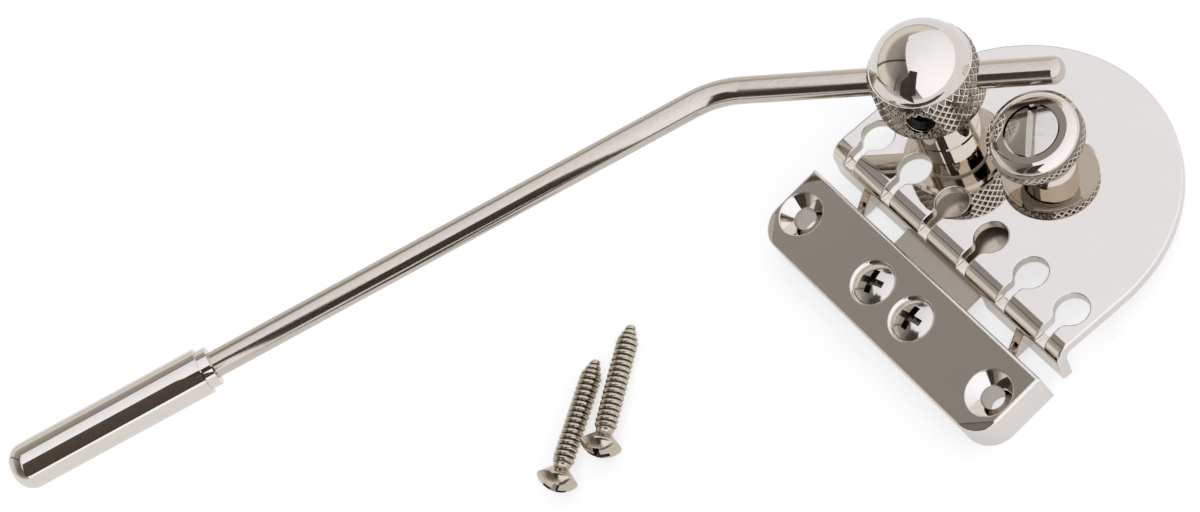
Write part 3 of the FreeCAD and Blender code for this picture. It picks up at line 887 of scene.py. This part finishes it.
@dataclass
class Studio:
    """Camera, floor, dark cards and light: one soft panel over one half of a plain grey room."""

    eye_mm: Triple = (243.06, -15.01, 406.5)
    aim_mm: Triple = (-56.5, -31.3, 0.0)
    roll_deg: float = 47.65
    lens_mm: float = 81.0
    sensor_mm: float = 36.0
    nearest_mm: float = 10.0
    floor_drop_mm: float = 0.05
    floor_half_mm: float = 4000.0
    # Matt paper: an even white ground without a gloss of its own.
    paper: PaperFinish = PaperFinish("matt white paper", "#FAFAFA")
    panel_colour: str = "#F3F6FF"
    panel_edge: Triple = (0.626, 0.732, 0.262)
    panel_edge_blur: float = 0.008
    panel_end: Triple = (0.929, -0.326, 0.177)
    panel_end_at: float = -0.706
    panel_end_blur: float = 0.01
    panel_from: Point = (-0.5, 1.08)
    panel_to: Point = (1.0, 1.42)
    room_colour: str = "#FFF9F3"
    front_wall: tuple[Point, ...] = (
        (0.0, 0.62), (0.12, 0.42), (0.3, 0.20), (0.6, 0.15), (1.0, 0.18))
    side_wall: tuple[Point, ...] = (
        (0.0, 0.40), (0.08, 0.80), (0.36, 0.84), (0.52, 0.42), (0.76, 0.35), (1.0, 0.23))
    side_wall_at: float = -0.45
    seam: Triple = (-0.513, 0.851, 0.1145)
    seam_from: Point = (0.012, 0.15)
    seam_to: Point = (0.05, 1.0)
    cards: tuple[Card, ...] = (
        Card("rod_flag", "#463E37", (
            (17.0, -25.0, 18.0), (-0.7, -104.0, 43.0),
            (-0.7, -104.0, 122.0), (17.0, -25.0, 124.0))),
        Card("handle_flag", "#5A5048", (
            (-25.0, -105.0, 53.0), (-40.0, -172.0, 63.0),
            (-40.0, -172.0, 196.0), (-25.0, -105.0, 182.0))),
        Card("side_card", "#3F3832", (
            (178.0, -81.0, 400.0), (65.0, -144.0, 418.0),
            (128.0, -330.0, 100.0), (245.0, -311.0, 100.0))),
        Card("apron", "#3F3832", (
            (-14.7, -76.7, 0.3), (116.7, 31.1, 0.3), (164.3, -26.9, 0.3), (32.9, -134.7, 0.3))))

    def camera(self) -> None:
        """Set up the camera at the photograph's place, with its roll."""
        eye, aim = Vector(self.eye_mm) * MM, Vector(self.aim_mm) * MM
        ahead = (aim - eye).normalized()
        level = ahead.cross(Vector(UP)).normalized()
        up = level.cross(ahead)
        c, s = math.cos(math.radians(self.roll_deg)), math.sin(math.radians(self.roll_deg))
        right = level * c - up * s
        top = level * s + up * c
        data = bpy.data.cameras.new("camera")
        data.sensor_fit = "HORIZONTAL"
        data.sensor_width = self.sensor_mm
        data.lens = self.lens_mm
        data.clip_start = self.nearest_mm * MM
        camera = bpy.data.objects.new("camera", data)
        turn = Matrix((right, top, -ahead)).transposed().to_4x4()
        camera.matrix_world = Matrix.Translation(eye) @ turn
        bpy.context.scene.collection.objects.link(camera)
        bpy.context.scene.camera = camera

    def floor(self) -> None:
        """Lay the paper floor."""
        half = self.floor_half_mm
        corners = [(-half, -half, 0), (half, -half, 0), (half, half, 0), (-half, half, 0)]
        axis = Axis(Vector((0, 0, -self.floor_drop_mm)) * MM, Vector(UP), Vector(ALONG_BAR))
        floor = make_piece("floor", corners, [tuple(range(len(corners)))], axis)
        dress(floor, self.paper.build())

    def panel(self, tree: bpy.types.NodeTree, way: bpy.types.NodeSocket,
              parts: bpy.types.Node) -> tuple[bpy.types.NodeSocket, bpy.types.NodeSocket]:
        """Add the bright panel, which ends at two straight edges.

        Args:
            tree: the world's node tree.
            way: the socket with the direction that is looked in.
            parts: the node with that direction's X, Y and Z.

        Returns:
            The sockets with the panel's share in each direction and with its light.
        """
        edge = add_node(
            tree, "ShaderNodeVectorMath", {"operation": "DOT_PRODUCT", "in:1": self.panel_edge},
            {0: way})
        inside = add_node(
            tree, "ShaderNodeMapRange",
            {"in:From Min": -self.panel_edge_blur, "in:From Max": self.panel_edge_blur},
            {"Value": edge.outputs["Value"]})
        end = add_node(
            tree, "ShaderNodeVectorMath", {"operation": "DOT_PRODUCT", "in:1": self.panel_end},
            {0: way})
        before_end = add_node(
            tree, "ShaderNodeMapRange",
            {"in:From Min": self.panel_end_at - self.panel_end_blur,
             "in:From Max": self.panel_end_at + self.panel_end_blur},
            {"Value": end.outputs["Value"]})
        share = add_node(
            tree, "ShaderNodeMath", {"operation": "MULTIPLY"},
            {0: inside.outputs["Result"], 1: before_end.outputs["Result"]})
        level = add_node(
            tree, "ShaderNodeMapRange",
            {"in:From Min": self.panel_from[0], "in:From Max": self.panel_to[0],
             "in:To Min": self.panel_from[1], "in:To Max": self.panel_to[1]},
            {"Value": parts.outputs["X"]})
        light = add_node(
            tree, "ShaderNodeVectorMath",
            {"operation": "SCALE", "in:0": linear(self.panel_colour)[:3]},
            {"Scale": level.outputs["Result"]})
        return share.outputs[0], light.outputs[0]

    def room(self, tree: bpy.types.NodeTree, way: bpy.types.NodeSocket,
             parts: bpy.types.Node) -> bpy.types.NodeSocket:
        """Add the grey room: two walls that run into each other, and a dark seam across them.

        Args:
            tree: the world's node tree.
            way: the socket with the direction that is looked in.
            parts: the node with that direction's X, Y and Z.

        Returns:
            The socket with the room's light.
        """
        walls: list[bpy.types.NodeSocket] = []
        for stops in (self.front_wall, self.side_wall):
            ramp = add_node(tree, "ShaderNodeValToRGB", {}, {0: parts.outputs["Z"]})
            marks = ramp.color_ramp.elements
            ready = len(marks)
            for k, (place, value) in enumerate(stops):
                mark = marks[k] if k < ready else marks.new(place)
                mark.position = place
                mark.color = (value, value, value, 1)
            walls.append(ramp.outputs["Color"])
        turn = add_node(
            tree, "ShaderNodeMapRange", {"in:From Min": 0.0, "in:From Max": self.side_wall_at},
            {"Value": parts.outputs["X"]})
        wall = add_node(
            tree, "ShaderNodeMix", {"data_type": "RGBA"},
            {0: turn.outputs["Result"], MIX_A: walls[0], MIX_B: walls[1]})
        across = add_node(
            tree, "ShaderNodeVectorMath", {"operation": "DOT_PRODUCT", "in:1": self.seam}, {0: way})
        away = add_node(
            tree, "ShaderNodeMath", {"operation": "ABSOLUTE"}, {0: across.outputs["Value"]})
        seam = add_node(
            tree, "ShaderNodeMapRange",
            {"in:From Min": self.seam_from[0], "in:From Max": self.seam_to[0],
             "in:To Min": self.seam_from[1], "in:To Max": self.seam_to[1]},
            {"Value": away.outputs[0]})
        grey = add_node(
            tree, "ShaderNodeVectorMath", {"operation": "SCALE"},
            {0: wall.outputs[MIX_RESULT], "Scale": seam.outputs["Result"]})
        warm = add_node(
            tree, "ShaderNodeVectorMath",
            {"operation": "MULTIPLY", "in:1": linear(self.room_colour)[:3]}, {0: grey.outputs[0]})
        return warm.outputs[0]

    def light(self) -> None:
        """Light the scene from the room and its panel, with a plain white ground for the camera."""
        world = bpy.data.worlds.new("studio")
        world.use_nodes = True
        bpy.context.scene.world = world
        tree = world.node_tree
        tree.nodes.clear()
        way = add_node(tree, "ShaderNodeTexCoord").outputs["Generated"]
        parts = add_node(tree, "ShaderNodeSeparateXYZ", {}, {0: way})
        share, bright = self.panel(tree, way, parts)
        mixed = add_node(
            tree, "ShaderNodeMix", {"data_type": "RGBA"},
            {0: share, MIX_A: self.room(tree, way, parts), MIX_B: bright})
        rays = add_node(tree, "ShaderNodeLightPath")
        shown = add_node(
            tree, "ShaderNodeMix", {"data_type": "RGBA", f"in:{MIX_B}": (1, 1, 1, 1)},
            {0: rays.outputs["Is Camera Ray"], MIX_A: mixed.outputs[MIX_RESULT]})
        light = add_node(
            tree, "ShaderNodeBackground", {"in:Strength": 1.0},
            {"Color": shown.outputs[MIX_RESULT]})
        add_node(tree, "ShaderNodeOutputWorld", {}, {"Surface": light.outputs[0]})

    def build(self) -> None:
        """Set up the whole studio."""
        self.camera()
        self.floor()
        for card in self.cards:
            card.build()
        self.light()
        bpy.context.scene.view_settings.view_transform = "Standard"


def finishes() -> dict[str, bpy.types.Material]:
    """Make every metal and plastic of the tremolo.

    Returns:
        Materials by the record's slot name, and three that the record has no slot for:
        painted_shade_pits, tarnished and recess; the first and the last are darker as painted shade.
    """
    # Bright nickel plate, buffed on a wheel: a warm mirror with a trace of waviness and soft edges.
    plate = SurfaceFinish(
        "buffed nickel plate", "#E7E1D9", "#E2DBD2", roughness=(0.02, 0.045), grain_mm=7.0,
        bump_mm=0.0008, edge_mm=0.4)
    # Turned and buffed nickel: the same mirror, with a finer waviness.
    turned = SurfaceFinish(
        "turned nickel", "#E6DFD6", "#DDD5CB", roughness=(0.02, 0.045), grain_mm=2.2,
        bump_mm=0.0004)
    # The knurl's hollows, which the buffing wheel doesn't reach: dull, and darker in colour as painted shade.
    painted_shade_pits = SurfaceFinish(
        "knurl pit nickel with painted shade", "#968A7C", "#6E645A", roughness=(0.2, 0.32), grain_mm=0.6,
        bump_mm=0.001)
    # Small nickel screws, barrel plated, so duller and more uneven.
    screws = SurfaceFinish(
        "barrel nickel", "#E0DBD4", "#D1CBC2", roughness=(0.10, 0.18), grain_mm=0.8, bump_mm=0.0015)
    # The same nickel on the wood screws, tarnished to a warm grey.
    tarnished = SurfaceFinish(
        "tarnished barrel nickel", "#DACFBE", "#B9AC98", roughness=(0.12, 0.20), grain_mm=0.8,
        bump_mm=0.002)
    # Cross recesses and the thread's root, where plating is thin and no wheel reaches: dull, and darker in colour
    # as painted shade.
    recess = SurfaceFinish(
        "recess and root nickel with painted shade", "#9A9085", "#6E655B", roughness=(0.16, 0.3), grain_mm=0.5, bump_mm=0.002)
    # Drawn steel rod under thin nickel: fine lines along its length spread the highlight across it.
    # The lines are drawn coarser than they are, so that they show.
    rod = SurfaceFinish(
        "drawn nickel rod", "#D9D0C4", "#C0B6A9", roughness=(0.10, 0.17), grain_mm=0.16,
        bump_mm=0.0002, stretch=80.0, along=ALONG_ARM)
    # Plated spring steel: a satin sheen with the faintest rolling streaks along the leaf.
    spring = SurfaceFinish(
        "plated spring steel", "#D6CDC1", "#C9BEB0", roughness=(0.28, 0.36), grain_mm=0.4,
        bump_mm=0.0001, stretch=40.0, along=ALONG_LEAF)
    # Blackened steel of a grub screw: dark, with a dull gleam.
    black = SurfaceFinish(
        "blackened steel", "#15130F", "#0C0B0A", roughness=(0.3, 0.45), grain_mm=0.3, bump_mm=0.002)
    # Turned brass, yellow and half bright.
    brass = SurfaceFinish(
        "turned brass", "#CDAF6E", "#BC9C5A", roughness=(0.18, 0.28), grain_mm=0.4, bump_mm=0.001)
    # Natural nylon, milky and matt.
    nylon = SurfaceFinish(
        "natural nylon", "#D8D4C8", "#CCC7BA", roughness=(0.45, 0.6), grain_mm=0.5, bump_mm=0.003,
        metallic=0.0)
    polished = plate.build()
    return {
        "nickel_bar": polished, "nickel_plate": polished, "nickel_turned": turned.build(),
        "painted_shade_pits": painted_shade_pits.build(), "nickel_screws": screws.build(), "tarnished": tarnished.build(),
        "recess": recess.build(), "satin_rod": rod.build(), "spring_steel": spring.build(),
        "black_steel": black.build(), "brass": brass.build(), "nylon": nylon.build()}


def main() -> None:
    """Dress the frame, build the new pieces and set up the studio."""
    logging.basicConfig(level=logging.INFO, format="%(message)s")
    made = finishes()
    for row in frame["record"]["subparts"]:
        dress(frame["nodes"][row["node"]], made[row["material_slot"]])
    # The pit and recess materials paint shade in the knurls' hollows, the screws' recesses and the root of their
    # threads.
    pieces = ArmHolder().build(made["nickel_turned"], made["painted_shade_pits"])
    pieces += TensionKnob().build(made["nickel_turned"], made["painted_shade_pits"])
    pieces += ClampScrews().build(made["nickel_screws"], made["recess"])
    pieces += WoodScrews().build(made["tarnished"], made["recess"])
    pieces += LeafSpring().build(made["spring_steel"])
    for piece in pieces:
        LOG.info("%s: %d faces", piece.name, len(piece.data.polygons))
    Studio().build()


if __name__ == "__main__":
    main()
